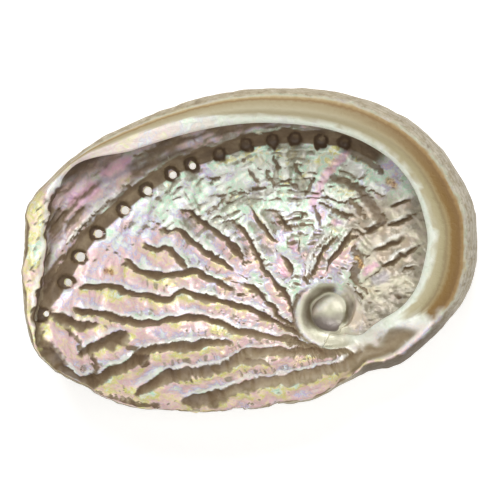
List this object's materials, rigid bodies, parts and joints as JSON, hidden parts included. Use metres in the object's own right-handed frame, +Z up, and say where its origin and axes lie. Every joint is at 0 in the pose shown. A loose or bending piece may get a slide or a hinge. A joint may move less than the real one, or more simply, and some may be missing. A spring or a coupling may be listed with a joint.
{
  "type": "abalone shell",
  "caption": "Dish-shaped abalone shell lying on its back, with a folded nacre floor, an overhanging inner-lip shelf that spirals into the eye, and a row of breathing pores.",
  "frame": {"origin": "middle of the footprint box, on the surface the shell rests on", "axes": "+X along the shell's length towards the spire end, +Y across towards the inner lip's long side, +Z up out of the dish"},
  "size_m": [0.1496, 0.1062, 0.0362],
  "materials": {
    "shell_nacre": "pearly nacre inside, rough chalky crust outside"
  },
  "bodies": {
    "root": {"shell": "shell_nacre"}
  },
  "joints": []
}
